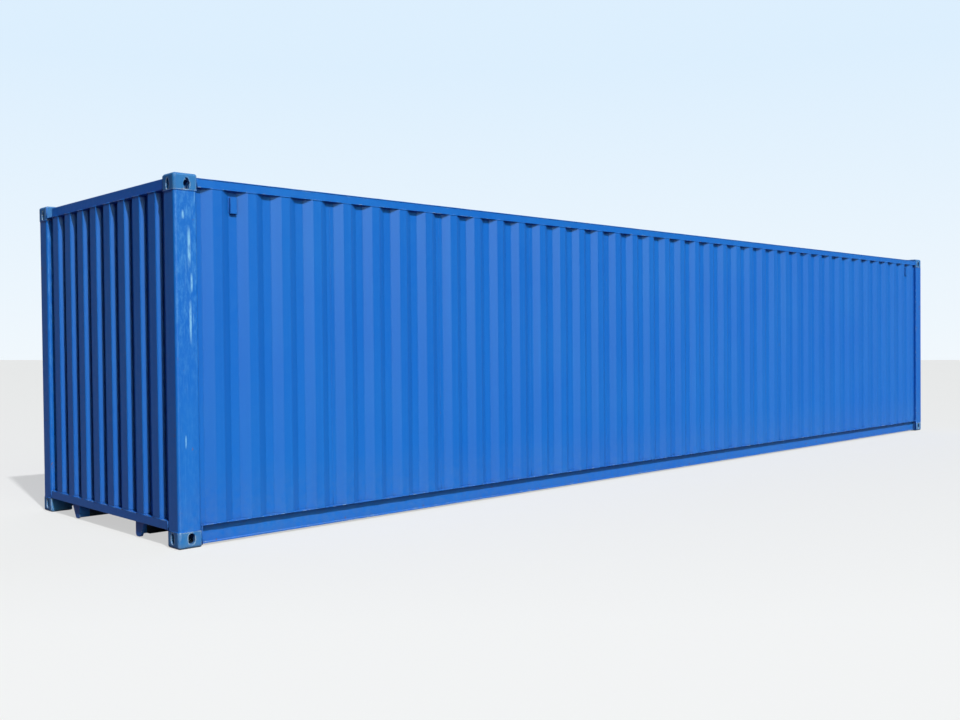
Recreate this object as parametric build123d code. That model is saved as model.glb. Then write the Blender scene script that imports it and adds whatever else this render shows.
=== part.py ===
from build123d import *
import os

# A closed 40 ft dry-freight container, 8 ft 6 in high, in millimetres.
# Origin: bottom centre. +X runs from the blind front end to the doors, +Z up.

# Driving dimensions of the whole box
length = 12192
width = 2438
height = 2591

# Corner castings
casting_length = 178
casting_width = 162
casting_height = 118
slot_from_end = 103.5
slot_from_side = 89.5
slot_length = 124
slot_width = 63.5
slot_wall = 28.5
side_wall_of_casting = 30
inner_wall_of_casting = 13
casting_corner_radius = 20
casting_inner_radius = 12
hand_hole_width = 51
hand_hole_height = 79
hand_hole_from_end = 98
hand_hole_from_side = 89
hand_hole_level = 68
top_hole_level = 71
shield_shoulder_drop = 4
shield_top_width = 38
shield_tip_width = 15
shield_rounding = 6

# Frame
face_inset = 3
post_thickness = 6
post_bend = 14
front_lip_depth = 89
side_lip_depth = 46
rear_post_width = 51
rear_post_setback = 32
top_rail_size = 60
top_rail_wall = 3
roof_edge_drop = 31
bottom_rail_low = 16
bottom_rail_high = 151
bottom_rail_top_flange = 52.5
bottom_rail_low_flange = 30
bottom_rail_thickness = 4.5
bottom_rail_bend = 6
front_rail_setback = 50
front_rail_depth = 56
front_rail_height = 90
front_rail_drop = 14
front_rail_wall = 4
front_sill_setback = 3
front_sill_height = 64

# Corrugated sheets
sheet_thickness = 2
side_recess_first = 190
side_pitch = 281
side_recess_flat = 69
side_ridge_flat = 72
side_depth = 36
side_wall_inset = 3.5
sheet_bend = 5
end_pitch = 250
end_ridge_flat = 110
end_slope_width = 18
end_depth = 46
end_setback = 6

# Roof
roof_thickness = 2
trough_pitch = 217.6
trough_margin = 174
trough_width = 122
trough_depth = 20
trough_taper = 45
corner_plate_length = 300
corner_plate_width = 300
corner_plate_thickness = 3

# Floor and underframe
floor_thickness = 28
floor_clearance = 1
member_rise = 1
member_height = 122
member_flange = 45
member_thickness = 4
member_pitch = 300
tunnel_width = 1029
tunnel_height = 120
tunnel_length = 3180
tunnel_plate_thickness = 4
tunnel_rail_flange = 50
tunnel_rail_thickness = 4.5
bow_width = 50
bolster_width = 150
bolster_wall = 4.5
gusset_thickness = 10
gusset_setback = 21
gusset_top_width = 137
gusset_foot_width = 68
gusset_foot_level = 8
gusset_foot_radius = 22
gusset_rim_depth = 22

# Door end
door_frame_setback = 56
door_beam_depth = 60
door_beam_wall = 4
sill_low = 17
header_height = 140
header_drop = 6
gasket_width = 15
gasket_thickness = 18
gasket_setback = 16
leaf_depth = 50
leaf_setback = 2
stile_width = 100
leaf_beam_height = 150
leaf_wall = 3.2
panel_flat = 200
panel_recess_count = 4
panel_slope = 36
panel_depth = 34
panel_setback = 2
bar_radius = 17
bar_wall = 3
drain_radius = 4
bar_standoff = 28
inner_bar_y = 270
outer_bar_margin = 270
bar_reach_low = 87
bar_reach_high = 73
cam_width = 44
cam_depth = 28
cam_height = 40
keeper_lug = 10
keeper_clearance = 1
keeper_height = 55
keeper_depth = 50
running_clearance = 0.3
guide_width = 60
guide_height = 44
guide_depth = 48
collar_radius = 24
collar_height = 60
lever_tip_gap = 90
lever_height = 32
lever_thickness = 8
lever_offset = 45
retainer_width = 30
retainer_height = 52
hinge_count = 4
hinge_margin = 118
pin_radius = 7
pin_from_side = 26
pin_from_end = 17
knuckle_radius = 13
knuckle_height = 70
blade_thickness = 10
blade_reach = 70
blade_clearance = 2
lug_height = 14
lug_width = 30

# Side ventilators
vent_recess = 1
vent_width = 54
vent_height = 116
vent_depth = 20
vent_wall = 3
vent_drop = 135

# Derived places shared by several pieces
half_length = length / 2
half_width = width / 2
post_low = casting_height
post_high = height - casting_height
casting_inner_x = half_length - casting_length
casting_inner_y = half_width - casting_width
slot_x = half_length - slot_from_end
slot_y = half_width - slot_from_side
frame_y = half_width - face_inset
side_wall_out = half_width - side_wall_inset
side_wall_in = side_wall_out - side_depth
rail_web_y = frame_y - bottom_rail_top_flange
roof_level = height - roof_edge_drop
top_rail_low = roof_level - top_rail_size
end_face_x = -half_length + end_setback
front_rail_x = half_length - front_rail_setback
front_rail_back = front_rail_x - front_rail_depth
front_rail_high = height - front_rail_drop
front_rail_low = front_rail_high - front_rail_height
front_sill_high = tunnel_height + front_sill_height
side_bays = round(2 * (half_length - side_recess_first) / side_pitch)
side_step = 2 * (half_length - side_recess_first) / side_bays
front_sill_x = half_length - front_sill_setback
member_low = bottom_rail_low + member_rise
floor_low = member_low + member_height
floor_high = floor_low + floor_thickness
door_face_x = half_length - door_frame_setback
door_beam_x = door_face_x - door_beam_depth
rear_post_inner_y = frame_y - rear_post_width
leaf_face_x = door_face_x - leaf_setback
leaf_back_x = leaf_face_x - leaf_depth
header_high = height - header_drop
header_low = header_high - header_height
leaf_outer = rear_post_inner_y - gasket_width
leaf_low = floor_high + gasket_width
leaf_high = header_low - gasket_width
panel_low = leaf_low + leaf_beam_height
panel_high = leaf_high - leaf_beam_height
bar_x = leaf_face_x + bar_standoff
outer_bar_y = leaf_outer - outer_bar_margin
lever_length = outer_bar_y - inner_bar_y - lever_tip_gap
blade_inner = leaf_outer - blade_reach
bar_low = floor_high - bar_reach_low
bar_high = header_low + bar_reach_high
tunnel_side = tunnel_width / 2
tunnel_rail_outer = tunnel_side + tunnel_rail_flange
tunnel_front = -front_rail_back
tunnel_end = -half_length + tunnel_length


def block(low, high):
    """Box between two opposite corners."""
    size = [b - a for a, b in zip(low, high)]
    centre = [(a + b) / 2 for a, b in zip(low, high)]
    return Pos(*centre) * Box(*size)


def sheet(path, thickness, bend=0):
    """Section of a bent sheet. The path is its outer line, and the metal lies to its left."""
    line = [Vector(*point) for point in path]
    runs = [(b - a).normalized() for a, b in zip(line, line[1:])]
    sides = [Vector(-run.Y, run.X) for run in runs]
    inner = [line[0] + sides[0] * thickness]
    for point, before, after in zip(line[1:], sides, sides[1:]):
        inner.append(point + (before + after) * (thickness / (1 + before.dot(after))))
    inner.append(line[-1] + sides[-1] * thickness)
    if not bend or len(line) < 3:
        return make_face(Polyline(*line, *inner[::-1], close=True))
    left_turns = [before.cross(after).Z > 0 for before, after in zip(runs, runs[1:])]
    outer_radii = [bend + thickness if left else bend for left in left_turns]
    inner_radii = [bend if left else bend + thickness for left in left_turns]
    outer_edge = FilletPolyline(*line, radius=outer_radii)
    inner_edge = FilletPolyline(*inner, radius=inner_radii)
    ends = [Line(line[-1], inner[-1]), Line(inner[0], line[0])]
    return make_face(Curve() + [outer_edge, inner_edge] + ends)


def outline(*points):
    return make_face(Polyline(*points, close=True))


def upright(face, low, high):
    """Raise a plan outline (x, y) from one level to another."""
    return Pos(0, 0, low) * extrude(face, high - low)


def along_x(face, start, end):
    """Run a section (y, z) along X."""
    return extrude(Plane((start, 0, 0), x_dir=(0, 1, 0), z_dir=(1, 0, 0)) * face, end - start)


def along_y(face, start, end):
    """Run a section (x, z) along Y."""
    return extrude(Plane((0, end, 0), x_dir=(1, 0, 0), z_dir=(0, -1, 0)) * face, end - start)


def tube(low, high, wall):
    """Rectangular tube section between two opposite corners."""
    outer = outline(low, (high[0], low[1]), high, (low[0], high[1]))
    a = (low[0] + wall, low[1] + wall)
    b = (high[0] - wall, high[1] - wall)
    return outer - outline(a, (b[0], a[1]), b, (a[0], b[1]))


def other_side(shape):
    """The same piece on the right side, y positive."""
    return mirror(shape, about=Plane.XZ)


def save(name, *solids):
    shape = solids[0] if len(solids) == 1 else Compound(children=list(solids))
    export_step(shape, f"parts/{name}.step")


# Corner castings

def casting_blank():
    blank = block((-half_length, -half_width, 0),
                  (-casting_inner_x, -casting_inner_y, casting_height))
    upright_edge = blank.edges().filter_by(Axis.Z).group_by(Axis.X)[0].sort_by(Axis.Y)[0]
    foot = blank.edges().group_by(Axis.Z)[0]
    outer_feet = [foot.sort_by(Axis.X)[0], foot.sort_by(Axis.Y)[0]]
    blank = fillet([upright_edge] + outer_feet, casting_corner_radius)
    foot = blank.edges().group_by(Axis.Z)[0].filter_by(GeomType.LINE)
    return fillet([foot.sort_by(Axis.X)[-1], foot.sort_by(Axis.Y)[-1]], casting_inner_radius)


def casting_hollow():
    cavity = block((-half_length + side_wall_of_casting, -half_width + side_wall_of_casting, slot_wall),
                   (-casting_inner_x - inner_wall_of_casting, -casting_inner_y - inner_wall_of_casting,
                    casting_height - inner_wall_of_casting))
    slot = upright(Pos(-slot_x, -slot_y) * SlotOverall(slot_length, slot_width), 0, slot_wall)
    return cavity + slot


def oval_hole():
    return SlotOverall(hand_hole_height, hand_hole_width, rotation=90)


def shield_hole():
    """Hole of a top casting seen with the casting upside down: the point is lowest."""
    half_height = hand_hole_height / 2
    right = [(shield_tip_width / 2, -half_height), (hand_hole_width / 2, -shield_shoulder_drop),
             (shield_top_width / 2, half_height)]
    left = [(-x, level) for x, level in reversed(right)]
    sharp = outline(*right, *left)
    return fillet(sharp.vertices(), shield_rounding)


def casting(hole, level):
    """Front left casting, standing on its slotted face."""
    side_hole = along_y(Pos(-half_length + hand_hole_from_end, level) * hole,
                        -half_width, -half_width + side_wall_of_casting)
    end_hole = along_x(Pos(-half_width + hand_hole_from_side, level) * hole,
                       -half_length, -half_length + side_wall_of_casting)
    return casting_blank() - casting_hollow() - side_hole - end_hole


def save_castings():
    bottom = casting(oval_hole(), hand_hole_level)
    top = mirror(casting(shield_hole(), top_hole_level), about=Plane.XY.offset(height / 2))
    for level, front_left in (("bottom", bottom), ("top", top)):
        rear_left = mirror(front_left, about=Plane.YZ)
        save(f"{level}_casting_front_left", front_left)
        save(f"{level}_casting_rear_left", rear_left)
        save(f"{level}_casting_front_right", other_side(front_left))
        save(f"{level}_casting_rear_right", other_side(rear_left))


# Posts and rails

def front_post():
    path = [(-half_length + front_lip_depth + face_inset, -casting_inner_y),
            (-half_length + face_inset, -casting_inner_y),
            (-half_length + face_inset, -frame_y),
            (-casting_inner_x, -frame_y),
            (-casting_inner_x, -frame_y + side_lip_depth)]
    return upright(sheet(path, post_thickness, post_bend), post_low, post_high)


def rear_post():
    """Box post with a flange that reaches back beside the hinges."""
    box_x = half_length - rear_post_setback
    flange_y = -frame_y + post_thickness
    box = tube((casting_inner_x, -frame_y), (box_x, -rear_post_inner_y), post_thickness)
    flange = outline((box_x, -frame_y), (half_length - face_inset, -frame_y),
                     (half_length - face_inset, flange_y), (box_x, flange_y))
    return upright(box + flange, post_low, post_high)


def top_side_rail():
    section = tube((-side_wall_out, top_rail_low), (-side_wall_out + top_rail_size, roof_level),
                   top_rail_wall)
    return along_x(section, -casting_inner_x, casting_inner_x)


def bottom_side_rail():
    web_low_tip = -rail_web_y - bottom_rail_low_flange
    path = [(web_low_tip, bottom_rail_low), (-rail_web_y, bottom_rail_low),
            (-rail_web_y, bottom_rail_high), (-frame_y, bottom_rail_high)]
    section = sheet(path, bottom_rail_thickness, bottom_rail_bend)
    return along_x(section, -casting_inner_x, casting_inner_x)


def front_top_rail():
    """Tube whose lowest side reaches forward as a ledge over the end wall."""
    section = tube((-front_rail_x, front_rail_low), (-front_rail_back, front_rail_high), front_rail_wall)
    ledge_high = front_rail_low + front_rail_wall
    section += outline((end_face_x, front_rail_low), (-front_rail_x, front_rail_low),
                       (-front_rail_x, ledge_high), (end_face_x, ledge_high))
    return along_y(section, -casting_inner_y, casting_inner_y)


def front_sill():
    section = tube((-front_sill_x, tunnel_height), (-front_rail_back, front_sill_high), front_rail_wall)
    return along_y(section, -casting_inner_y, casting_inner_y)


# Corrugated walls

def side_wall():
    slope = (side_step - side_recess_flat - side_ridge_flat) / 2
    path = [(-casting_inner_x, -side_wall_in)]
    for k in range(side_bays):
        foot = -half_length + side_recess_first + k * side_step + side_recess_flat / 2
        path += [(foot, -side_wall_in), (foot + slope, -side_wall_out),
                 (foot + slope + side_ridge_flat, -side_wall_out),
                 (foot + 2 * slope + side_ridge_flat, -side_wall_in)]
    path.append((casting_inner_x, -side_wall_in))
    return upright(sheet(path, sheet_thickness, sheet_bend), bottom_rail_high, top_rail_low)


def end_wall():
    """Recess floors at both posts, and ridges set evenly on both sides of the middle."""
    half_ridge = end_ridge_flat / 2
    floor_x = end_face_x + end_depth
    ridges_a_side = int(casting_inner_y // end_pitch)
    path = [(floor_x, casting_inner_y)]
    for k in range(ridges_a_side, -ridges_a_side, -1):
        middle = (k - 0.5) * end_pitch
        path += [(floor_x, middle + half_ridge + end_slope_width), (end_face_x, middle + half_ridge),
                 (end_face_x, middle - half_ridge), (floor_x, middle - half_ridge - end_slope_width)]
    path.append((floor_x, -casting_inner_y))
    return upright(sheet(path, sheet_thickness, sheet_bend), front_sill_high, front_rail_low)


# Roof

def roof():
    """Flat sheet on the rails with rows of pressed troughs across it."""
    top = roof_level + roof_thickness
    plan = (outline((-front_rail_back, -casting_inner_y), (door_beam_x, -casting_inner_y),
                    (door_beam_x, casting_inner_y), (-front_rail_back, casting_inner_y))
            + outline((-casting_inner_x, -side_wall_out), (casting_inner_x, -side_wall_out),
                      (casting_inner_x, side_wall_out), (-casting_inner_x, side_wall_out)))
    skin = upright(plan, roof_level, top)
    start = -front_rail_back
    count = round((door_beam_x - start) / trough_pitch)
    places = [start + (k + 0.5) * (door_beam_x - start) / count for k in range(count)]
    trough_length = width - 2 * trough_margin
    pressing = Rectangle(trough_width, trough_length)
    hollow_outline = Rectangle(trough_width - 2 * roof_thickness, trough_length - 2 * roof_thickness)
    outer = extrude(pressing, -(trough_depth + roof_thickness), taper=trough_taper)
    inner = extrude(hollow_outline, -trough_depth, taper=trough_taper)
    skin += [Pos(x, 0, top) * outer for x in places]
    skin -= [Pos(x, 0, top) * inner for x in places]
    return skin


def corner_plate():
    """Protection plate on the roof behind the front left casting."""
    low = roof_level + roof_thickness
    return block((-casting_inner_x, -side_wall_out, low),
                 (-casting_inner_x + corner_plate_length, -side_wall_out + corner_plate_width,
                  low + corner_plate_thickness))


# Floor and underframe

def floor():
    return block((-front_rail_back, -rail_web_y + floor_clearance, floor_low),
                 (door_beam_x, rail_web_y - floor_clearance, floor_high))


def channel(x):
    """Section of a floor cross member whose web stands at x."""
    path = [(x + member_flange, member_low), (x, member_low), (x, floor_low), (x + member_flange, floor_low)]
    return sheet(path[::-1], member_thickness)


def cross_members():
    start = tunnel_end + bolster_width
    bays = round((door_beam_x - start) / member_pitch)
    pitch = (door_beam_x - start) / bays
    beams = [along_y(channel(start + k * pitch), -rail_web_y, rail_web_y) for k in range(1, bays)]
    bolster = tube((tunnel_end, member_low), (tunnel_end + bolster_width, floor_low), bolster_wall)
    return beams + [along_y(bolster, -rail_web_y, rail_web_y)]


def outriggers():
    bays = round((tunnel_end - tunnel_front) / member_pitch)
    pitch = (tunnel_end - tunnel_front) / bays
    left = [along_y(channel(tunnel_front + k * pitch), -rail_web_y, -tunnel_rail_outer)
            for k in range(1, bays)]
    return left + [other_side(beam) for beam in left]


def tunnel_rail():
    path = [(-tunnel_rail_outer, member_low), (-tunnel_side, member_low),
            (-tunnel_side, floor_low), (-tunnel_rail_outer, floor_low)]
    return along_x(sheet(path, tunnel_rail_thickness), tunnel_front, tunnel_end)


def tunnel_plate():
    top = tunnel_height + tunnel_plate_thickness
    plate = block((tunnel_front, -tunnel_side, tunnel_height), (tunnel_end, tunnel_side, top))
    bays = round((tunnel_end - tunnel_front) / member_pitch)
    pitch = (tunnel_end - tunnel_front) / bays
    for k in range(bays):
        middle = tunnel_front + (k + 0.5) * pitch
        plate += block((middle - bow_width / 2, -tunnel_side, top),
                       (middle + bow_width / 2, tunnel_side, floor_low))
    return plate


def tunnel_gusset():
    """Tapered plate under the front sill with a rim, and a web that runs back to the tunnel rail."""
    face_x = -half_length + gusset_setback
    foot = outline((-tunnel_side, tunnel_height), (-tunnel_side - gusset_top_width, tunnel_height),
                   (-tunnel_side - gusset_foot_width, gusset_foot_level), (-tunnel_side, gusset_foot_level))
    foot = fillet(foot.vertices().group_by(Axis.Y)[0], gusset_foot_radius)
    plate = along_x(foot, face_x, face_x + gusset_thickness)
    rim = foot - Pos(gusset_thickness, 0) * foot
    plate += along_x(rim, face_x + gusset_thickness, face_x + gusset_rim_depth)
    web = block((face_x + gusset_thickness, -tunnel_side - tunnel_rail_thickness, member_low),
                (tunnel_front, -tunnel_side, tunnel_height))
    return plate + web


# Door end

def door_beam(castings_low, castings_high, posts_low, posts_high):
    """Two tubes on top of each other: one between castings, one between posts."""
    between_castings = tube((door_beam_x, castings_low), (door_face_x, castings_high), door_beam_wall)
    between_posts = tube((door_beam_x, posts_low), (door_face_x, posts_high), door_beam_wall)
    return (along_y(between_castings, -casting_inner_y, casting_inner_y)
            + along_y(between_posts, -rear_post_inner_y, rear_post_inner_y))


def door_frame():
    """Left leaf: two stiles and two beams of rectangular tube."""
    near, far = -leaf_outer, -gasket_width
    stile = tube((leaf_back_x, near), (leaf_face_x, near + stile_width), leaf_wall)
    second = tube((leaf_back_x, far - stile_width), (leaf_face_x, far), leaf_wall)
    frame = upright(stile, leaf_low, leaf_high) + upright(second, leaf_low, leaf_high)
    for low in (leaf_low, leaf_high - leaf_beam_height):
        beam = tube((leaf_back_x, low), (leaf_face_x, low + leaf_beam_height), leaf_wall)
        frame += along_y(beam, near + stile_width, far - stile_width)
    return frame


def door_panel():
    face = leaf_face_x - panel_setback
    recess = (panel_high - panel_low - (panel_recess_count + 1) * panel_flat
              - 2 * panel_recess_count * panel_slope) / panel_recess_count
    path = [(face, panel_low)]
    for k in range(panel_recess_count):
        level = panel_low + panel_flat + k * (panel_flat + recess + 2 * panel_slope)
        path += [(face, level), (face - panel_depth, level + panel_slope),
                 (face - panel_depth, level + panel_slope + recess),
                 (face, level + 2 * panel_slope + recess)]
    path.append((face, panel_high))
    return along_y(sheet(path, sheet_thickness, sheet_bend), -leaf_outer + stile_width,
                   -gasket_width - stile_width)


def door_gasket():
    outer = outline((-rear_post_inner_y, floor_high), (0, floor_high), (0, header_low),
                    (-rear_post_inner_y, header_low))
    inner = outline((-leaf_outer, leaf_low), (-gasket_width, leaf_low), (-gasket_width, leaf_high),
                    (-leaf_outer, leaf_high))
    start = leaf_face_x - gasket_setback - gasket_thickness
    return along_x(outer - inner, start, start + gasket_thickness)


def locking_bar(y):
    """Pipe with a cam at each end, drained through the lower cam."""
    ring = Circle(bar_radius) - Circle(bar_radius - bar_wall)
    bar = upright(ring, bar_low + cam_height, bar_high - cam_height)
    for low in (bar_low, bar_high - cam_height):
        bar += block((-cam_depth / 2, -cam_width / 2, low), (cam_depth / 2, cam_width / 2, low + cam_height))
    bar -= upright(Circle(drain_radius), bar_low, bar_low + cam_height)
    return Pos(bar_x, y) * bar


def cam_keeper(y, low):
    """Two lugs, one each side of a cam, on a back plate."""
    reach = cam_width / 2 + keeper_clearance
    back_thickness = bar_x - bar_radius - keeper_clearance - door_face_x
    keeper = block((door_face_x, y - reach - keeper_lug, low),
                   (door_face_x + back_thickness, y + reach + keeper_lug, low + keeper_height))
    for side in (-1, 1):
        inner, outer = sorted((y + side * reach, y + side * (reach + keeper_lug)))
        keeper += block((door_face_x, inner, low), (door_face_x + keeper_depth, outer, low + keeper_height))
    return keeper


def bar_guide(y, level, base_x):
    guide = block((base_x, y - guide_width / 2, level - guide_height / 2),
                  (leaf_face_x + guide_depth, y + guide_width / 2, level + guide_height / 2))
    bore = Pos(bar_x, y, level) * Cylinder(bar_radius + running_clearance, guide_height)
    return guide - bore


def lever(y, level, toward):
    """Handle: a collar round the bar and a flat lever that lies along the door."""
    collar = Pos(bar_x, y, level) * Cylinder(collar_radius, collar_height)
    tip = y + toward * lever_length
    start, end = sorted((y, tip))
    face = bar_x + collar_radius
    handle = collar + block((face - lever_thickness, start, level - lever_height / 2),
                            (face, end, level + lever_height / 2))
    return handle - Pos(bar_x, y, level) * Cylinder(bar_radius + running_clearance, collar_height)


def lever_retainer(y, level, toward):
    """Catch on the door panel that holds a lever's tip from behind and below."""
    tip = y + toward * (lever_length - retainer_width)
    start, end = sorted((tip, tip - toward * retainer_width))
    face = bar_x + collar_radius - lever_thickness
    catch = block((leaf_face_x - panel_setback, start, level - retainer_height / 2),
                  (face, end, level + retainer_height / 2))
    shelf = block((face, start, level - retainer_height / 2),
                  (face + lever_thickness, end, level - lever_height / 2))
    return catch + shelf


def hinge_lug(level):
    """Two lugs on the rear post and the pin between them."""
    pin_y = -frame_y + pin_from_side
    pin_x = half_length - pin_from_end
    post_x = half_length - rear_post_setback
    span = knuckle_height + 2 * running_clearance
    lug = Pos(pin_x, pin_y, level) * Cylinder(pin_radius, span + 2 * lug_height)
    for low in (level - span / 2 - lug_height, level + span / 2):
        lug += block((post_x, pin_y - lug_width / 2, low),
                     (pin_x + knuckle_radius, pin_y + lug_width / 2, low + lug_height))
    return lug


def hinge_blade(level):
    """Strap from the door leaf that wraps round the pin."""
    pin_y = -frame_y + pin_from_side
    pin_x = half_length - pin_from_end
    low, high = level - knuckle_height / 2, level + knuckle_height / 2
    strap_x = half_length - rear_post_setback + blade_clearance
    strap = block((strap_x, pin_y, low), (strap_x + blade_thickness, -blade_inner, high))
    pad = block((leaf_face_x, -leaf_outer, low), (strap_x, -blade_inner, high))
    knuckle = Pos(pin_x, pin_y, level) * Cylinder(knuckle_radius, knuckle_height)
    bore = Pos(pin_x, pin_y, level) * Cylinder(pin_radius + running_clearance, knuckle_height)
    return strap + pad + knuckle - bore


# Ventilators

def side_vent():
    """Small cover on a recess of the left wall near one end, open below."""
    middle = -half_length + side_recess_first + vent_recess * side_step
    vent_top = height - vent_drop
    cover = block((middle - vent_width / 2, -side_wall_in - vent_depth, vent_top - vent_height),
                  (middle + vent_width / 2, -side_wall_in, vent_top))
    hollow = block((middle - vent_width / 2 + vent_wall, -side_wall_in - vent_depth + vent_wall,
                    vent_top - vent_height),
                   (middle + vent_width / 2 - vent_wall, -side_wall_in, vent_top - vent_wall))
    return cover - hollow


os.makedirs("parts", exist_ok=True)

save_castings()
for piece, shape in (("front_post", front_post()), ("rear_post", rear_post()),
                     ("top_rail", top_side_rail()), ("bottom_rail", bottom_side_rail()),
                     ("side_wall", side_wall()), ("door_frame", door_frame()),
                     ("door_panel", door_panel()), ("door_gasket", door_gasket())):
    save(f"left_{piece}", shape)
    save(f"right_{piece}", other_side(shape))

save("front_top_rail", front_top_rail())
save("front_sill", front_sill())
save("front_end_wall", end_wall())
save("roof", roof())

front_plates = [corner_plate(), other_side(corner_plate())]
save("roof_corner_plates", *front_plates, *[mirror(plate, about=Plane.YZ) for plate in front_plates])

save("floor", floor())
save("cross_members", *cross_members())
save("tunnel_outriggers", *outriggers())
save("tunnel_rails", tunnel_rail(), other_side(tunnel_rail()))
save("tunnel_plate", tunnel_plate())
save("tunnel_gussets", tunnel_gusset(), other_side(tunnel_gusset()))

save("door_header", door_beam(post_high, header_high, header_low, post_high))
save("door_sill", door_beam(sill_low, post_low, post_low, floor_high))

bars = [side * place for side in (-1, 1) for place in (inner_bar_y, outer_bar_y)]
save("locking_bars", *[locking_bar(y) for y in bars])

keeper_low = bar_low - (keeper_height - cam_height) / 2
keeper_high = bar_high - cam_height - (keeper_height - cam_height) / 2
save("cam_keepers", *[cam_keeper(y, low) for y in bars for low in (keeper_low, keeper_high)])

guide_levels = ((leaf_low + leaf_beam_height / 2, leaf_face_x),
                (panel_low + panel_flat / 2, leaf_face_x - panel_setback),
                (panel_high - panel_flat / 2, leaf_face_x - panel_setback),
                (leaf_high - leaf_beam_height / 2, leaf_face_x))
save("bar_guides", *[bar_guide(y, level, base) for y in bars for level, base in guide_levels])

handle_level = (panel_low + panel_high) / 2
handle_places = [(side * place, handle_level + rise, side * toward)
                 for side in (-1, 1)
                 for place, rise, toward in ((inner_bar_y, -lever_offset, 1),
                                             (outer_bar_y, lever_offset, -1))]
save("door_handles", *[lever(*place) for place in handle_places])
save("handle_retainers", *[lever_retainer(*place) for place in handle_places])

hinge_step = (leaf_high - leaf_low - 2 * hinge_margin) / (hinge_count - 1)
hinge_levels = [leaf_low + hinge_margin + k * hinge_step for k in range(hinge_count)]
for name, maker in (("hinge_lugs", hinge_lug), ("hinge_blades", hinge_blade)):
    left = [maker(level) for level in hinge_levels]
    save(name, *left, *[other_side(piece) for piece in left])

front_vents = [side_vent(), other_side(side_vent())]
save("side_vents", *front_vents, *[mirror(vent, about=Plane.YZ) for vent in front_vents])
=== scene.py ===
import math

import bpy
import mathutils
from mathutils import Matrix, Vector


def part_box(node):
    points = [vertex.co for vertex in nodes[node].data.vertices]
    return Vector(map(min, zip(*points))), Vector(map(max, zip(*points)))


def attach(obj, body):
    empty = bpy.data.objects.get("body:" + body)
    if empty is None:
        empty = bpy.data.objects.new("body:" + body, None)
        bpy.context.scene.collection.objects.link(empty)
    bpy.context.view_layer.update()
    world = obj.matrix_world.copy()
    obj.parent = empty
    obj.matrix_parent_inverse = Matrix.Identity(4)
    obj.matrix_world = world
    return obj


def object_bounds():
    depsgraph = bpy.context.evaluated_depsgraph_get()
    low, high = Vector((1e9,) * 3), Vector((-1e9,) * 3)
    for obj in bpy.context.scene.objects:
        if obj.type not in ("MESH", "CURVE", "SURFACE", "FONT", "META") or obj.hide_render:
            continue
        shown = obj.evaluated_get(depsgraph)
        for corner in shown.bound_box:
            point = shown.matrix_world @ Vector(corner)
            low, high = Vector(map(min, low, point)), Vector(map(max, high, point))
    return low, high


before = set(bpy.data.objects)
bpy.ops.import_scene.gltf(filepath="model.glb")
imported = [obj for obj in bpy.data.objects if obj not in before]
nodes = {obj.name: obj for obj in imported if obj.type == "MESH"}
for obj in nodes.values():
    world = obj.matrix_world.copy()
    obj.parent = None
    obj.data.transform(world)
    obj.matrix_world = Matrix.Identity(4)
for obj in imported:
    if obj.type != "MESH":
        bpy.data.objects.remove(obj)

cad_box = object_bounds()

# Picture frame and camera, fitted to the corner castings and the corrugations
IMAGE_WIDTH, IMAGE_HEIGHT = 960, 720
FOCAL_PIXELS = 1002.29
SENSOR_MM = 36.0
NEAREST, FARTHEST = 0.1, 2000
CAMERA_PLACE = Vector((-9.3320, -7.5888, 1.4123))
CAMERA_YAW = math.radians(43.8105)
CAMERA_PITCH = math.radians(-1.0505)
CAMERA_ROLL = math.radians(-0.5531)
HORIZON_ROW = 360
HORIZON_MARGIN = 60

# Light and sky
SUN_STRENGTH = 3.65
SUN_AZIMUTH = math.radians(12.5)
SUN_ELEVATION = math.radians(45)
SUN_SIZE = math.radians(1.5)
AMBIENT = 0.062
AMBIENT_TINT = (0.36, 0.50, 1.08, 1)
GLOW = 3.3
GLOW_TINT = (0.98, 1.16, 0.82, 1)
GLOW_AZIMUTH = math.radians(9)
GLOW_CORE, GLOW_EDGE = math.cos(math.radians(8)), math.cos(math.radians(24))
GLOW_STARTS, GLOW_FULL = -0.02, 0.10
GLOW_FADES, GLOW_ENDS = 0.50, 0.80
FILL = 0.78
FILL_TINT = (0.82, 0.90, 1.0, 1)
FILL_TOWARD = (0.75, 0.66)
FILL_LIMITS = (0.25, 0.75)
SKY_LIMITS = (-0.02, 0.26)

# Colours, linear
BLUE = (0.0015, 0.124, 0.530, 1)
BLUE_FADED = (0.010, 0.165, 0.550, 1)
BLUE_DEEP = (0.0025, 0.095, 0.440, 1)
BLUE_CAST = (0.012, 0.150, 0.430, 1)
BLUE_CAST_PALE = (0.060, 0.225, 0.450, 1)
BLUE_SCUFFED = (0.060, 0.260, 0.640, 1)
BLUE_RUBBED = (0.20, 0.45, 0.74, 1)
PRIMER = (0.36, 0.52, 0.68, 1)
DUST = (0.22, 0.22, 0.21, 1)
# Near-black: real grime in stain rings and plywood seams and blots, and painted shade in the paint's corners
# and gaps
GRIME_AND_SHADE = (0.010, 0.014, 0.024, 1)
RUST = (0.105, 0.034, 0.012, 1)
RUST_LIGHT = (0.26, 0.10, 0.035, 1)
COATING = (0.010, 0.020, 0.042, 1)
COATING_BLUE = (0.013, 0.038, 0.090, 1)
RUBBER = (0.012, 0.012, 0.013, 1)
RUBBER_PALE = (0.070, 0.068, 0.065, 1)
PLY_LIGHT = (0.36, 0.22, 0.11, 1)
PLY_DARK = (0.16, 0.085, 0.04, 1)
STEEL = (0.30, 0.31, 0.33, 1)
CAST_WORN = (0.34, 0.43, 0.52, 1)
SKY_TOP = (0.720, 0.863, 0.991, 1)
SKY_LOW = (0.880, 0.940, 0.985, 1)

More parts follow.
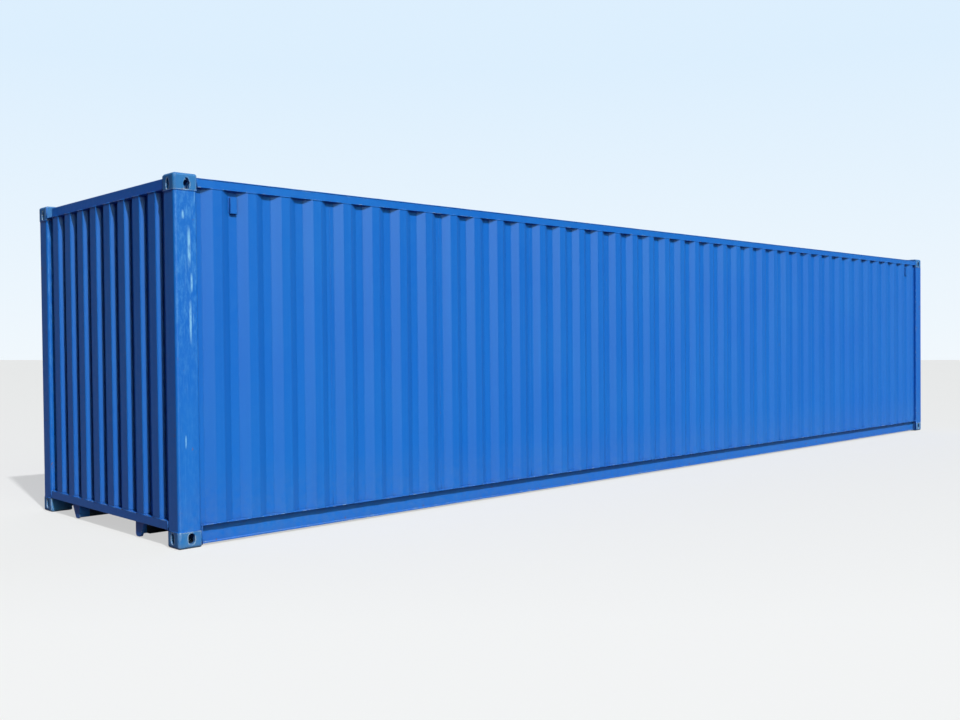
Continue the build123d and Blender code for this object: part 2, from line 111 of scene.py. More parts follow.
# Floor, in metres. Its brightness falls along FLOOR_FADE, measured from the CAD box's low corner
FLOOR_SPREAD, FLOOR_REACH = 120, 260
FLOOR_FAR, FLOOR_NEAR = 0.747, 0.904
FLOOR_NEARNESS = (0.015, 0.20)
FLOOR_FADE = Vector((0.6921, 0.7218, 0.0))
FLOOR_FADE_START = 6.83
FLOOR_DIFFUSE_SHARE = 0.35
FLOOR_GLOSSY_SHARE = 0.25
FLOOR_PALE = (0.80, 0.80, 0.80, 1)
FLOOR_LIT = (1, 1, 1, 1)
FLOOR_BOUNCE = (0.075, 0.054, 0.110, 1)

# Corrugation and sheets of the walls, the roof and the floor, in metres
SIDE_FIRST = 0.190
SIDE_BAYS = 42
SIDE_RECESS = 0.069
SIDE_RIDGE = 0.072
SHEET = 0.002
END_RIDGES = 8
END_PITCH = 0.250
END_RIDGE = 0.110
END_SLOPE = 0.018
PANEL_BAYS = 4
TROUGH_PITCH = 0.2176
ROOF_SHEET_TROUGHS = 5
PLATE_REACH = 0.3
PLY_LENGTH = 2.4

# Pale rubs down the side faces of the front posts: x, lowest and highest level, half width
POST_RUBS = ((-5.985, 1.93, 2.24, 0.014), (-5.969, 1.77, 1.91, 0.010), (-5.981, 1.41, 1.73, 0.011),
             (-6.028, 2.27, 2.34, 0.012), (-6.029, 0.69, 0.79, 0.007))
RUB_FADE = 0.3

# Rounded edges of the CAD nodes, in metres
ROUNDING = 0.003
GEAR_ROUNDING = 0.0015
ROUNDED_ANGLE = math.radians(40)
MERGE_GAP = 0.00002

# Welds, in metres. The seed makes the wander of the beads the same in each run
NOISE_SEED = 7
BEAD = 0.0040
SEAM_BEAD = 0.0022
BEAD_SIDES = 6
BEAD_STEP = 0.08
BEAD_WANDER = 0.0007
WANDER_SCALE = 23.0
BEAD_SWELL = 0.18
SWELL_SCALE = 31.0
POST_CORNER = 0.018
CORNER_CUT = 0.3
VENT_WIDTH = 0.054

# Bolt: washer, head and crown, as shares of the head's radius and height
BOLT_RADIUS = 0.0062
BOLT_HEIGHT = 0.005
BOLT_SIDES = 6
BOLT_RINGS = ((1.45, 0.0), (1.45, 0.22), (1.0, 0.22), (1.0, 0.85), (0.8, 1.0))

# Door gear, in metres
HINGE_COUNT = 4
HINGE_MARGIN = 0.118
HINGE_FACE = 0.038
HINGE_BOLTS = (0.020, 0.053)
HINGE_BOLT_RISE = 0.020
GUIDE_FACE = 0.048
GUIDE_BOLT = 0.0235
BAR_PLACES = (0.270, 0.880)
BEAM_HEIGHT = 0.150
PANEL_MARGIN = 0.100

# Side walls as the frame holds them: half the length, and the planes of ridges and recesses
wall_low, wall_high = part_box("left_side_wall")
half_length = -cad_box[0][0]
ridge_y, recess_y = -wall_low[1], SHEET - wall_high[1]
side_pitch = 2 * (half_length - SIDE_FIRST) / SIDE_BAYS


# Camera

def camera_axes():
    """Right, up and forward of the camera in the row frame."""
    forward = Vector((math.sin(CAMERA_YAW) * math.cos(CAMERA_PITCH),
                      math.cos(CAMERA_YAW) * math.cos(CAMERA_PITCH),
                      math.sin(CAMERA_PITCH)))
    level_right = Vector((math.cos(CAMERA_YAW), -math.sin(CAMERA_YAW), 0))
    level_up = level_right.cross(forward)
    turn_cos, turn_sin = math.cos(CAMERA_ROLL), math.sin(CAMERA_ROLL)
    right = turn_cos * level_right + turn_sin * level_up
    up = turn_cos * level_up - turn_sin * level_right
    return right, up, forward


def make_camera():
    right, up, forward = camera_axes()
    data = bpy.data.cameras.new("camera")
    data.sensor_width = SENSOR_MM
    data.lens = FOCAL_PIXELS * SENSOR_MM / IMAGE_WIDTH
    data.clip_start, data.clip_end = NEAREST, FARTHEST
    camera = bpy.data.objects.new("camera", data)
    camera.matrix_world = Matrix((
        (right.x, up.x, -forward.x, CAMERA_PLACE.x),
        (right.y, up.y, -forward.y, CAMERA_PLACE.y),
        (right.z, up.z, -forward.z, CAMERA_PLACE.z),
        (0, 0, 0, 1)))
    bpy.context.scene.collection.objects.link(camera)
    bpy.context.scene.camera = camera


def floor_point(column, row):
    """Point of the floor that the camera sees at a pixel."""
    right, up, forward = camera_axes()
    ray = (forward + right * ((column - IMAGE_WIDTH / 2) / FOCAL_PIXELS)
           - up * ((row - IMAGE_HEIGHT / 2) / FOCAL_PIXELS))
    return CAMERA_PLACE - ray * (CAMERA_PLACE.z / ray.z)


# Node graphs

def add(tree, kind, inputs=(), output=0, **settings):
    """Adds one shader node and returns one of its outputs, the first if none is named."""
    made = tree.nodes.new("ShaderNode" + kind)
    for key, value in settings.items():
        setattr(made, key, value)
    for key, value in dict(inputs).items():
        if isinstance(value, bpy.types.NodeSocket):
            tree.links.new(value, made.inputs[key])
        else:
            made.inputs[key].default_value = value
    return made.outputs[output]


def blend(tree, factor, first, second):
    """Mix of two colours. The node keeps them in its inputs 6 and 7, and the result in output 2."""
    return add(tree, "Mix", {0: factor, 6: first, 7: second}, output=2, data_type="RGBA")


def math_node(tree, operation, first, second=0.0):
    return add(tree, "Math", {0: first, 1: second}, operation=operation)


def times(tree, first, second):
    return math_node(tree, "MULTIPLY", first, second)


def plus(tree, first, second):
    return math_node(tree, "ADD", first, second)


def remap(tree, value, low, high, to_low=0.0, to_high=1.0):
    """Straight ramp of a value between two limits, clamped."""
    return add(tree, "MapRange", {"Value": value, "From Min": low, "From Max": high,
                                  "To Min": to_low, "To Max": to_high})


def place(tree):
    """Position in the row frame, in metres."""
    return add(tree, "TexCoord", output="Object")


def face_normal(tree):
    return add(tree, "NewGeometry", output="Normal")


def axis(tree, vector, name):
    return add(tree, "SeparateXYZ", {0: vector}, output=name)


def along(tree, vector, direction):
    """How far a vector reaches in a level direction."""
    x = times(tree, axis(tree, vector, "X"), direction[0])
    y = times(tree, axis(tree, vector, "Y"), direction[1])
    return plus(tree, x, y)


def noise(tree, vector, scale, detail=3.0, roughness=0.55, stretch=None, offset=0.0):
    """Noise at a scale per metre, stretched by (x, y, z) factors."""
    if stretch:
        vector = add(tree, "VectorMath", {0: vector, 1: stretch}, operation="MULTIPLY")
    if offset:
        vector = add(tree, "VectorMath", {0: vector, 1: (offset, offset, offset)}, operation="ADD")
    return add(tree, "TexNoise", {"Vector": vector, "Scale": scale, "Detail": detail,
                                  "Roughness": roughness})


def edge_mask(tree, radius):
    """1 on sharp edges: how far a rounded normal leans from the true one."""
    rounded = add(tree, "Bevel", {"Radius": radius}, samples=4)
    lean = add(tree, "VectorMath", {0: rounded, 1: face_normal(tree)}, output="Value",
               operation="DOT_PRODUCT")
    return remap(tree, lean, 0.995, 0.90)


def crevice(tree, distance):
    """1 in corners and gaps, 0 on open faces."""
    openness = add(tree, "AmbientOcclusion", {"Distance": distance}, output="AO", samples=4)
    return remap(tree, openness, 0.85, 0.35)


def new_material(name):
    material = bpy.data.materials.new(name)
    material.use_nodes = True
    tree = material.node_tree
    shader = tree.nodes["Principled BSDF"]
    return material, tree, shader


def bump(tree, height, distance, normal=None):
    """Relief of a height map, on top of an earlier normal if there is one."""
    inputs = {"Height": height, "Distance": distance, "Strength": 1.0}
    if normal is not None:
        inputs["Normal"] = normal
    return add(tree, "Bump", inputs)


def connect(tree, shader, tone, rough, normal):
    """Gives a surface its colour, roughness and relief."""
    for name, value in (("Base Color", tone), ("Roughness", rough), ("Normal", normal)):
        tree.links.new(value, shader.inputs[name])


# Paint, its wear, and painted shade in its corners

def paint(name, colour=BLUE, faded=BLUE_FADED, fade=0.30, dust=0.10, corner_shade=0.6, rust=0.0, wear=0.0,
          wear_colour=PRIMER, wear_width=0.008, gloss=0.46, waves=0.0, stains=0.0, ripple=0.0,
          soft_bend=0.0):
    """Blue paint, faded, streaked and dusty, darkened in corners and gaps as painted shade, with rust, worn
    edges, stains and relief where asked for.
    """
    material, tree, shader = new_material(name)
    at = place(tree)
    height = axis(tree, at, "Z")

    broad = noise(tree, at, 0.9, 4.0)
    runs = noise(tree, at, 1.0, 5.0, 0.6, stretch=(16, 16, 0.45))
    fine = noise(tree, at, 26.0, 5.0, 0.65)

    tone = blend(tree, times(tree, remap(tree, broad, 0.38, 0.68), fade), colour, faded)
    tone = blend(tree, times(tree, remap(tree, runs, 0.35, 0.70), 0.30), tone, BLUE_DEEP)
    tone = blend(tree, times(tree, remap(tree, fine, 0.42, 0.75), 0.10), tone, faded)

    low = remap(tree, height, 0.55, 0.02)
    dusty = times(tree, times(tree, low, remap(tree, fine, 0.30, 0.62)), dust)
    tone = blend(tree, dusty, tone, DUST)

    # Painted shade: near-black colour laid into the corners and gaps that the ambient occlusion mask finds
    painted_shade = times(tree, crevice(tree, 0.05), corner_shade)
    tone = blend(tree, times(tree, painted_shade, remap(tree, fine, 0.25, 0.60)), tone, GRIME_AND_SHADE)

    rough = remap(tree, fine, 0.3, 0.7, gloss - 0.05, gloss + 0.07)
    rough = plus(tree, rough, times(tree, dusty, 0.5))

    if stains:
        tone, rough = stain(tree, at, tone, rough, stains)
    if wear:
        lower = 0.25 * wear
        chips = remap(tree, fine, 0.62 - lower, 0.72 - lower)
        worn = times(tree, edge_mask(tree, wear_width), chips)
        tone = blend(tree, worn, tone, wear_colour)
    if rust:
        lower = 0.08 * rust
        spots = remap(tree, noise(tree, at, 14.0, 8.0, 0.7, offset=3.7), 0.66 - lower, 0.70 - lower)
        spotted = times(tree, spots, min(1.0, 0.7 + rust))
        tone = blend(tree, spotted, tone, blend(tree, fine, RUST, RUST_LIGHT))
        rough = plus(tree, rough, times(tree, spotted, 0.35))

    skin = noise(tree, at, 330.0, 2.0, 0.5)
    bent = add(tree, "Bevel", {"Radius": soft_bend}, samples=6) if soft_bend else None
    normal = bump(tree, skin, 0.00018, normal=bent)
    if waves:
        sheet = noise(tree, at, 2.4, 2.0, 0.5, stretch=(1, 1, 0.55))
        normal = bump(tree, sheet, waves, normal=normal)
    if ripple:
        beads = noise(tree, at, 190.0, 2.0, 0.6)
        normal = bump(tree, beads, ripple, normal=normal)

    shader.inputs["Specular IOR Level"].default_value = 0.42
    connect(tree, shader, tone, rough, normal)
    return material


def stain(tree, at, tone, rough, amount):
    """Dried puddles and settled dust on a surface that faces up."""
    facing_up = remap(tree, axis(tree, face_normal(tree), "Z"), 0.2, 0.9)
    patches = noise(tree, at, 1.7, 6.0, 0.6, offset=9.1)
    rings = math_node(tree, "PINGPONG", times(tree, patches, 9.0), 0.5)
    ringed = times(tree, remap(tree, rings, 0.30, 0.48), facing_up)
    settled = times(tree, remap(tree, patches, 0.35, 0.70, 0.25, 1.0), facing_up)
    tone = blend(tree, times(tree, settled, amount), tone, DUST)
    tone = blend(tree, times(tree, ringed, amount * 0.35), tone, GRIME_AND_SHADE)
    return tone, plus(tree, rough, times(tree, settled, 0.25))


def rub_mask(tree, at, x, low, high, half_width):
    """1 on a long thin mark that stands upright on a side face."""
    away = math_node(tree, "ABSOLUTE", math_node(tree, "SUBTRACT", axis(tree, at, "X"), x))
    across = remap(tree, away, half_width, half_width * RUB_FADE)
    level = axis(tree, at, "Z")
    fade = (high - low) * RUB_FADE
    upright = times(tree, remap(tree, level, low, low + fade), remap(tree, level, high, high - fade))
    return times(tree, across, upright)


def scuffed_post():
    """Paint of the front posts: mottled above, with a few long pale rubs down the side face."""
    material = paint("post_paint", fade=0.5, wear=0.15, rust=0.06)
    tree = material.node_tree
    shader = tree.nodes["Principled BSDF"]
    tone = shader.inputs["Base Color"].links[0].from_socket
    at = place(tree)

    high_up = remap(tree, axis(tree, at, "Z"), 1.0, 1.7, 0.25, 1.0)
    sideways = math_node(tree, "ABSOLUTE", axis(tree, face_normal(tree), "Y"))
    above = times(tree, high_up, remap(tree, sideways, 0.5, 0.9, 0.15, 1.0))

    mottles = noise(tree, at, 1.0, 7.0, 0.7, stretch=(34, 34, 13), offset=1.3)
    mottled = times(tree, remap(tree, mottles, 0.46, 0.64), above)
    tone = blend(tree, times(tree, mottled, 0.6), tone, BLUE_SCUFFED)

    streaks = noise(tree, at, 1.0, 3.0, 0.5, stretch=(120, 120, 4.0), offset=6.4)
    streaked = times(tree, remap(tree, streaks, 0.64, 0.72), above)
    tone = blend(tree, times(tree, streaked, 0.45), tone, BLUE_RUBBED)

    rubs = 0.0
    for x, low, high, half_width in POST_RUBS:
        rubs = math_node(tree, "MAXIMUM", rub_mask(tree, at, x, low, high, half_width), rubs)
    breaks = noise(tree, at, 1.0, 5.0, 0.7, stretch=(90, 90, 22), offset=2.1)
    broken = remap(tree, breaks, 0.36, 0.52, 0.35, 1.0)
    tone = blend(tree, times(tree, rubs, broken), tone, BLUE_RUBBED)
    tree.links.new(tone, shader.inputs["Base Color"])
    return material


def underframe_coating():
    """Dark protective coating under the floor, with rust coming through."""
    material, tree, shader = new_material("underframe_coating")
    at = place(tree)
    fine = noise(tree, at, 18.0, 6.0, 0.65)
    broad = noise(tree, at, 1.6, 4.0)
    tone = blend(tree, remap(tree, broad, 0.35, 0.7), COATING, COATING_BLUE)
    tone = blend(tree, times(tree, remap(tree, fine, 0.45, 0.7), 0.15), tone, DUST)
    rusty = remap(tree, noise(tree, at, 9.0, 8.0, 0.7, offset=2.2), 0.60, 0.66)
    tone = blend(tree, rusty, tone, blend(tree, fine, RUST, RUST_LIGHT))
    rough = remap(tree, fine, 0.3, 0.7, 0.62, 0.9)
    shader.inputs["Specular IOR Level"].default_value = 0.3
    connect(tree, shader, tone, rough, bump(tree, noise(tree, at, 120.0, 4.0), 0.0008))
    return material


def rubber():
    material, tree, shader = new_material("rubber")
    at = place(tree)
    fine = noise(tree, at, 40.0, 5.0)
    tone = blend(tree, times(tree, remap(tree, fine, 0.4, 0.75), 0.35), RUBBER, RUBBER_PALE)
    rough = remap(tree, fine, 0.3, 0.7, 0.55, 0.8)
    connect(tree, shader, tone, rough, bump(tree, noise(tree, at, 500.0, 2.0), 0.0003))
    return material


def plywood():
    """Floor boards seen from below: panels across the box with grain along X."""
    material, tree, shader = new_material("plywood")
    at = place(tree)
    grain = noise(tree, at, 1.0, 8.0, 0.7, stretch=(3, 60, 60))
    tone = blend(tree, remap(tree, grain, 0.3, 0.7), PLY_DARK, PLY_LIGHT)
    panel = math_node(tree, "FRACT", times(tree, axis(tree, at, "X"), 1 / PLY_LENGTH))
    seam = remap(tree, math_node(tree, "PINGPONG", panel, 0.5), 0.0025, 0.0012)
    tone = blend(tree, seam, tone, GRIME_AND_SHADE)
    blot = noise(tree, at, 3.0, 5.0)
    tone = blend(tree, times(tree, remap(tree, blot, 0.5, 0.75), 0.5), tone, GRIME_AND_SHADE)
    rough = remap(tree, grain, 0.3, 0.7, 0.6, 0.85)
    connect(tree, shader, tone, rough, bump(tree, grain, 0.0006))
    return material


# CAD nodes: materials and rounded edges

def dress(names, material, rounding=0.0):
    """Gives CAD nodes a material, and rounded edges where a rounding is stated."""
    for name in names:
        piece = nodes[name]
        piece.data.materials.clear()
        piece.data.materials.append(material)
        if rounding:
            weld = piece.modifiers.new("weld", "WELD")
            weld.merge_threshold = MERGE_GAP
            bevel = piece.modifiers.new("bevel", "BEVEL")
            bevel.width = rounding
            bevel.segments = 2
            bevel.limit_method = "ANGLE"
            bevel.angle_limit = ROUNDED_ANGLE
            bevel.harden_normals = True


wall_paint = paint("wall_paint", waves=0.0022, soft_bend=0.012)
end_paint = paint("end_paint", waves=0.0022, soft_bend=0.018)
frame_paint = paint("frame_paint", fade=0.45, wear=0.35, rust=0.08)
post_paint = scuffed_post()
casting_paint = paint("casting_paint", colour=BLUE_CAST, faded=BLUE_CAST_PALE, fade=0.6, dust=0.15,
                      rust=0.25, wear=0.95, wear_colour=CAST_WORN, wear_width=0.014, gloss=0.55)
roof_paint = paint("roof_paint", fade=0.9, rust=0.30, stains=0.40, gloss=0.55)
weld_paint = paint("weld_paint", fade=0.5, rust=0.15, corner_shade=0.3, ripple=0.004)
door_paint = paint("door_paint", waves=0.0010, wear=0.3, rust=0.08)
gear_paint = paint("gear_paint", wear=0.9, rust=0.35, wear_colour=STEEL, gloss=0.42)
coating = underframe_coating()
rubber_black = rubber()
ply = plywood()

CASTINGS = [f"{level}_casting_{end}_{side}" for level in ("top", "bottom") for end in ("front", "rear")
            for side in ("left", "right")]
dress(CASTINGS, casting_paint, ROUNDING)
dress(["left_front_post", "right_front_post"], post_paint)
dress(["left_rear_post", "right_rear_post", "left_top_rail", "right_top_rail", "left_bottom_rail",
       "right_bottom_rail", "front_top_rail", "front_sill", "tunnel_gussets", "door_header", "door_sill"],
      frame_paint, ROUNDING)
dress(["left_side_wall", "right_side_wall", "side_vents"], wall_paint)
dress(["front_end_wall"], end_paint)
dress(["roof", "roof_corner_plates"], roof_paint)
dress(["left_door_frame", "right_door_frame", "left_door_panel", "right_door_panel"], door_paint)
dress(["locking_bars", "cam_keepers", "bar_guides", "door_handles", "handle_retainers", "hinge_lugs",
       "hinge_blades"], gear_paint, GEAR_ROUNDING)
dress(["cross_members", "tunnel_outriggers", "tunnel_rails", "tunnel_plate"], coating)
dress(["left_door_gasket", "right_door_gasket"], rubber_black)
dress(["floor"], ply)


# Welds, seams and fixings

def wander(path):
    """Divides a path into short runs and shifts each point a little, as a hand weld goes."""
    points = [Vector(path[0])]
    for start, end in zip(path, path[1:]):
        start, end = Vector(start), Vector(end)
        count = max(1, round((end - start).length / BEAD_STEP))
        for k in range(1, count + 1):
            point = start.lerp(end, k / count)
            points.append(point + mathutils.noise.noise_vector(point * WANDER_SCALE) * BEAD_WANDER)
    return points


def add_rings(shape, rings, open_start=False):
    """Joins rings of points into one closed form, which may stay open where it starts."""
    verts, faces = shape
    first, sides = len(verts), len(rings[0])
    last = first + (len(rings) - 1) * sides
    for ring in rings:
        verts.extend(ring)
    for low in range(first, last, sides):
        high = low + sides
        for turn in range(sides):
            after = (turn + 1) % sides
            faces.append((low + turn, low + after, high + after, high + turn))
    if not open_start:
        faces.append(tuple(range(first + sides - 1, first - 1, -1)))
    faces.append(tuple(range(last, last + sides)))


def add_bead(shape, path, radius=BEAD, up=(0, 0, 1)):
    """Adds a round bead that follows a path, half sunk in the corner that it fills."""
    points, up = wander(path), Vector(up)
    rings = []
    for k, point in enumerate(points):
        run = (points[min(k + 1, len(points) - 1)] - points[max(k - 1, 0)]).normalized()
        side = run.cross(up).normalized()
        rise = side.cross(run)
        swell = radius * (1 + BEAD_SWELL * mathutils.noise.noise(point * SWELL_SCALE))
        angles = [math.tau * turn / BEAD_SIDES for turn in range(BEAD_SIDES)]
        rings.append([point + (side * math.cos(angle) + rise * math.sin(angle)) * swell for angle in angles])
    add_rings(shape, rings)


def add_upright(shape, x, y, box, radius=BEAD):
    """Adds a straight bead as tall as a node's box."""
    low, high = box
    add_bead(shape, [(x, y, low[2]), (x, y, high[2])], radius, up=(1, 0, 0))


def add_bolt(shape, centre):
    """Adds a bolt head that points along X, on a thin washer and with a small crown."""
    centre, outward = Vector(centre), Vector((1, 0, 0))
    side = outward.orthogonal().normalized()
    rise = outward.cross(side)
    rings = []
    for reach, level in BOLT_RINGS:
        middle, ring = centre + outward * (level * BOLT_HEIGHT), []
        for turn in range(BOLT_SIDES * 2):
            angle = math.tau * turn / (BOLT_SIDES * 2)
            corner = 1.0 if turn % 2 == 0 or reach > 1.0 else math.cos(math.pi / BOLT_SIDES)
            arm = side * math.cos(angle) + rise * math.sin(angle)
            ring.append(middle + arm * (BOLT_RADIUS * reach * corner))
        rings.append(ring)
    add_rings(shape, rings, open_start=True)


def make_piece(name, shape, material):
    """Adds one piece that the scene alone has, and carries it on the part's body."""
    verts, faces = shape
    mesh = bpy.data.meshes.new(name)
    mesh.from_pydata([tuple(v) for v in verts], [], faces)
    mesh.shade_smooth()
    piece = bpy.data.objects.new(name, mesh)
    bpy.context.scene.collection.objects.link(piece)
    mesh.materials.append(material)
    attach(piece, "root")


def side_line(side, level):
    """Outer line of a side wall at one level. side is -1 on the left and 1 on the right."""
    slope = (side_pitch - SIDE_RECESS - SIDE_RIDGE) / 2
    bends = ((0, recess_y), (slope, ridge_y), (slope + SIDE_RIDGE, ridge_y),
             (2 * slope + SIDE_RIDGE, recess_y))
    line = [(wall_low[0], side * recess_y, level)]
    for k in range(SIDE_BAYS):
        foot = -half_length + SIDE_FIRST + k * side_pitch + SIDE_RECESS / 2
        line += [(foot + reach, side * y, level) for reach, y in bends]
    return line + [(wall_high[0], side * recess_y, level)]


def end_line(level):
    """Outer line of the front end wall at one level."""
    low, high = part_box("front_end_wall")
    ridge_x, recess_x = low[0], high[0] - SHEET
    half = END_RIDGE / 2
    bends = ((-half - END_SLOPE, recess_x), (-half, ridge_x), (half, ridge_x), (half + END_SLOPE, recess_x))
    line = [(recess_x, low[1], level)]
    for k in range(END_RIDGES):
        middle = (k + 0.5 - END_RIDGES / 2) * END_PITCH
        line += [(x, middle + reach, level) for reach, x in bends]
    return line + [(recess_x, high[1], level)]


def wall_welds():
    """Welds all round the side walls and the front end wall."""
    shape = ([], [])
    for side in (-1, 1):
        for level in (wall_low[2], wall_high[2]):
            add_bead(shape, side_line(side, level))
        for x in (wall_low[0], wall_high[0]):
            add_upright(shape, x, side * recess_y, (wall_low, wall_high))
    end_low, end_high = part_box("front_end_wall")
    for level in (end_low[2], end_high[2]):
        add_bead(shape, end_line(level))
    for y in (end_low[1], end_high[1]):
        add_upright(shape, end_high[0] - SHEET, y, (end_low, end_high))
    make_piece("wall_welds", shape, weld_paint)


def panel_seams():
    """Butt welds between the sheets of the side walls, down the middle of every fourth recess."""
    shape = ([], [])
    for side in (-1, 1):
        for k in range(PANEL_BAYS, SIDE_BAYS, PANEL_BAYS):
            x = -half_length + SIDE_FIRST + k * side_pitch
            add_upright(shape, x, side * recess_y, (wall_low, wall_high), SEAM_BEAD)
    make_piece("panel_seams", shape, weld_paint)


def face_x(box, way):
    """The x of a box's face that looks toward -X, where way is -1, or +X, where it is 1."""
    return box[0][0] if way < 0 else box[1][0]


def post_welds(shape, side, end, casting, post):
    """Welds round a post's two ends. end is -1 at the front, where they also cross the end face."""
    inner_x, outer_x = face_x(casting, -end), face_x(post, end)
    inner_y, outer_y = side * -casting[1][1], side * -post[0][1]
    x_shift, y_shift = end * POST_CORNER, side * POST_CORNER
    for level in (post[0][2], post[1][2]):
        path = [(inner_x, outer_y, level), (outer_x - x_shift, outer_y, level)]
        if end < 0:
            path += [(outer_x - x_shift * CORNER_CUT, outer_y - y_shift * CORNER_CUT, level),
                     (outer_x, outer_y - y_shift, level), (outer_x, inner_y, level)]
        add_bead(shape, path)


def frame_welds():
    """Welds round the posts' ends, between side rails and castings, and at the front rails' ends."""
    shape = ([], [])
    for side in (-1, 1):
        for end, name in ((-1, "front"), (1, "rear")):
            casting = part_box(f"bottom_casting_{name}_left")
            post_welds(shape, side, end, casting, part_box(f"left_{name}_post"))
            joint_x = face_x(casting, -end)
            for rail in ("left_bottom_rail", "left_top_rail"):
                low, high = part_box(rail)
                add_upright(shape, joint_x, side * -low[1], (low, high))
                add_bead(shape, [(joint_x, side * -low[1], high[2]), (joint_x, side * -high[1], high[2])])
    for side in (-1, 1):
        for name in ("front_sill", "front_top_rail"):
            low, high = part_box(name)
            add_upright(shape, low[0], side * high[1], (low, high))
    make_piece("frame_welds", shape, weld_paint)


def roof_welds():
    """Lap welds along the roof's edges, seams across it, and beads along the corner plates' inner edges."""
    shape = ([], [])
    low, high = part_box("roof")
    top = high[2]
    rail_low, rail_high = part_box("left_top_rail")
    for y in (-high[1], high[1]):
        add_bead(shape, [(rail_low[0], y, top), (rail_high[0], y, top)])
    inner = -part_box("front_top_rail")[0][1]
    for x in (low[0], high[0]):
        add_bead(shape, [(x, -inner, top), (x, inner, top)])
    troughs = round((high[0] - low[0]) / TROUGH_PITCH)
    pitch = (high[0] - low[0]) / troughs
    for k in range(ROOF_SHEET_TROUGHS, troughs, ROOF_SHEET_TROUGHS):
        x = low[0] + k * pitch
        add_bead(shape, [(x, low[1], top), (x, high[1], top)], SEAM_BEAD)
    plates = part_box("roof_corner_plates")
    for end in (-1, 1):
        for side in (-1, 1):
            x, y = end * (plates[1][0] - PLATE_REACH), side * (plates[1][1] - PLATE_REACH)
            path = [(x + end * PLATE_REACH, y, top), (x, y, top), (x, y + side * PLATE_REACH, top)]
            add_bead(shape, path, SEAM_BEAD)
    make_piece("roof_welds", shape, weld_paint)


def vent_beads():
    """Sealing bead along the top and the sides of each ventilator cover."""
    shape = ([], [])
    low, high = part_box("side_vents")
    for side in (-1, 1):
        y = side * recess_y
        for start in (low[0], high[0] - VENT_WIDTH):
            end = start + VENT_WIDTH
            path = [(start, y, low[2]), (start, y, high[2]), (end, y, high[2]), (end, y, low[2])]
            add_bead(shape, path, SEAM_BEAD, up=(0, 1, 0))
    make_piece("vent_beads", shape, weld_paint)


def door_fixings():
    """Bolts through the hinge blades and the bar guides."""
    shape = ([], [])
    low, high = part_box("left_door_frame")
    hinge_x, guide_x, outer_y = high[0] + HINGE_FACE, high[0] + GUIDE_FACE, -low[1]
    step = (high[2] - low[2] - 2 * HINGE_MARGIN) / (HINGE_COUNT - 1)
    hinge_levels = [low[2] + HINGE_MARGIN + k * step for k in range(HINGE_COUNT)]
    guide_levels = [low[2] + BEAM_HEIGHT / 2, low[2] + BEAM_HEIGHT + PANEL_MARGIN,
                    high[2] - BEAM_HEIGHT - PANEL_MARGIN, high[2] - BEAM_HEIGHT / 2]
    for side in (-1, 1):
        for level in hinge_levels:
            for inset in HINGE_BOLTS:
                for rise in (-HINGE_BOLT_RISE, HINGE_BOLT_RISE):
                    add_bolt(shape, (hinge_x, side * (outer_y - inset), level + rise))
        for bar in BAR_PLACES:
            for level in guide_levels:
                for across in (-GUIDE_BOLT, GUIDE_BOLT):
                    add_bolt(shape, (guide_x, side * bar + across, level))
    make_piece("door_fixings", shape, gear_paint)


mathutils.noise.seed_set(NOISE_SEED)
wall_welds()
panel_seams()
frame_welds()
roof_welds()
vent_beads()
door_fixings()


# Stage: floor, world and light

def make_floor():
    """A pale floor whose far edge lies on the photo's horizon line."""
    far_left = floor_point(-HORIZON_MARGIN, HORIZON_ROW)
    far_right = floor_point(IMAGE_WIDTH + HORIZON_MARGIN, HORIZON_ROW)
    edge = (far_right - far_left).normalized()
    near = Vector((edge.y, -edge.x, 0))
    corners = [far_left - edge * FLOOR_SPREAD, far_right + edge * FLOOR_SPREAD]
    corners += [corner + near * FLOOR_REACH for corner in reversed(corners)]
    mesh = bpy.data.meshes.new("stage_floor")
    mesh.from_pydata([(c.x, c.y, 0) for c in corners], [], [(3, 2, 1, 0)])
    piece = bpy.data.objects.new("stage_floor", mesh)
    bpy.context.scene.collection.objects.link(piece)
    material, tree, shader = new_material("stage_floor")
    tree.nodes.remove(shader)
    start = FLOOR_FADE_START - Vector(cad_box[0]).dot(FLOOR_FADE)
    depth = plus(tree, along(tree, place(tree), FLOOR_FADE), start)
    nearness = math_node(tree, "DIVIDE", 1.0, math_node(tree, "MAXIMUM", depth, 1.0))
    tone = remap(tree, nearness, *FLOOR_NEARNESS, FLOOR_FAR, FLOOR_NEAR)
    pale = add(tree, "BsdfDiffuse", {"Color": FLOOR_PALE})
    lit = add(tree, "Emission", {"Color": FLOOR_LIT, "Strength": tone})
    shown = add(tree, "MixShader", {0: FLOOR_DIFFUSE_SHARE, 1: lit, 2: pale})
    dull = add(tree, "BsdfDiffuse", {"Color": FLOOR_BOUNCE})
    by_camera = add(tree, "LightPath", output="Is Camera Ray")
    by_gloss = times(tree, add(tree, "LightPath", output="Is Glossy Ray"), FLOOR_GLOSSY_SHARE)
    seen = math_node(tree, "MAXIMUM", by_camera, by_gloss)
    mixed = add(tree, "MixShader", {0: seen, 1: dull, 2: shown})
    tree.links.new(mixed, tree.nodes["Material Output"].inputs["Surface"])
    piece.data.materials.append(material)


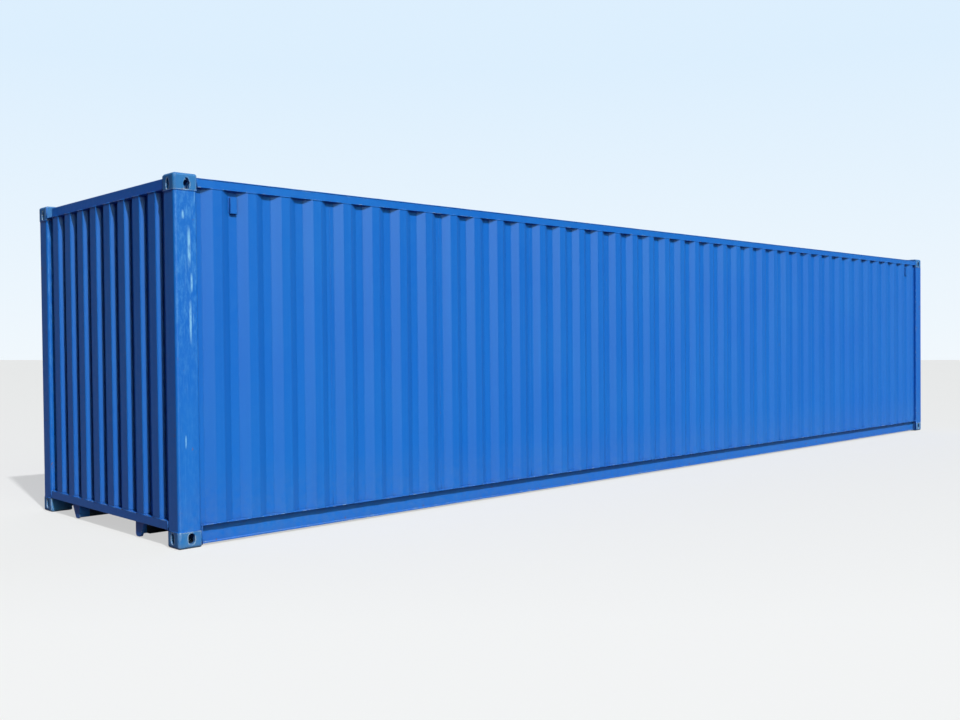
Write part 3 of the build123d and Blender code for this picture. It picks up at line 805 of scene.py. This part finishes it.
def glow_mask(tree, direction):
    """1 in a soft patch of sky around the sun's side, down to the floor."""
    x, y, z = (axis(tree, direction, name) for name in "XYZ")
    toward = along(tree, direction, (-math.sin(GLOW_AZIMUTH), -math.cos(GLOW_AZIMUTH)))
    flat = math_node(tree, "SQRT", plus(tree, times(tree, x, x), times(tree, y, y)))
    aligned = math_node(tree, "DIVIDE", toward, math_node(tree, "MAXIMUM", flat, 0.001))
    around = remap(tree, aligned, GLOW_EDGE, GLOW_CORE)
    level = times(tree, remap(tree, z, GLOW_STARTS, GLOW_FULL), remap(tree, z, GLOW_ENDS, GLOW_FADES))
    return times(tree, around, level)


def make_world():
    """Pale sky gradient for the camera, and a soft light with a brighter patch for everything else."""
    world = bpy.data.worlds.new("studio")
    bpy.context.scene.world = world
    world.use_nodes = True
    tree = world.node_tree
    tree.nodes.clear()
    direction = add(tree, "TexCoord", output="Generated")
    rise = remap(tree, axis(tree, direction, "Z"), *SKY_LIMITS)
    sky = blend(tree, rise, SKY_LOW, SKY_TOP)
    seen = add(tree, "Background", {"Color": sky, "Strength": 1.0})

    filling = remap(tree, along(tree, direction, FILL_TOWARD), *FILL_LIMITS)
    fill = add(tree, "Background", {"Color": FILL_TINT, "Strength": times(tree, filling, FILL)})
    ambient = add(tree, "Background", {"Color": AMBIENT_TINT, "Strength": AMBIENT})
    even = add(tree, "AddShader", {0: ambient, 1: fill})
    glowing = glow_mask(tree, direction)
    glow = add(tree, "Background", {"Color": GLOW_TINT, "Strength": times(tree, glowing, GLOW)})
    soft = add(tree, "AddShader", {0: even, 1: glow})

    by_camera = add(tree, "LightPath", output="Is Camera Ray")
    mixed = add(tree, "MixShader", {0: by_camera, 1: soft, 2: seen})
    output = tree.nodes.new("ShaderNodeOutputWorld")
    tree.links.new(mixed, output.inputs["Surface"])


def make_sun():
    data = bpy.data.lights.new("sun", "SUN")
    data.energy = SUN_STRENGTH
    data.angle = SUN_SIZE
    sun = bpy.data.objects.new("sun", data)
    toward = Vector((-math.sin(SUN_AZIMUTH) * math.cos(SUN_ELEVATION),
                     -math.cos(SUN_AZIMUTH) * math.cos(SUN_ELEVATION), math.sin(SUN_ELEVATION)))
    sun.rotation_mode = "QUATERNION"
    sun.rotation_quaternion = toward.to_track_quat("Z", "Y")
    bpy.context.scene.collection.objects.link(sun)


make_camera()
make_floor()
make_world()
make_sun()
bpy.context.scene.view_settings.view_transform = "Standard"
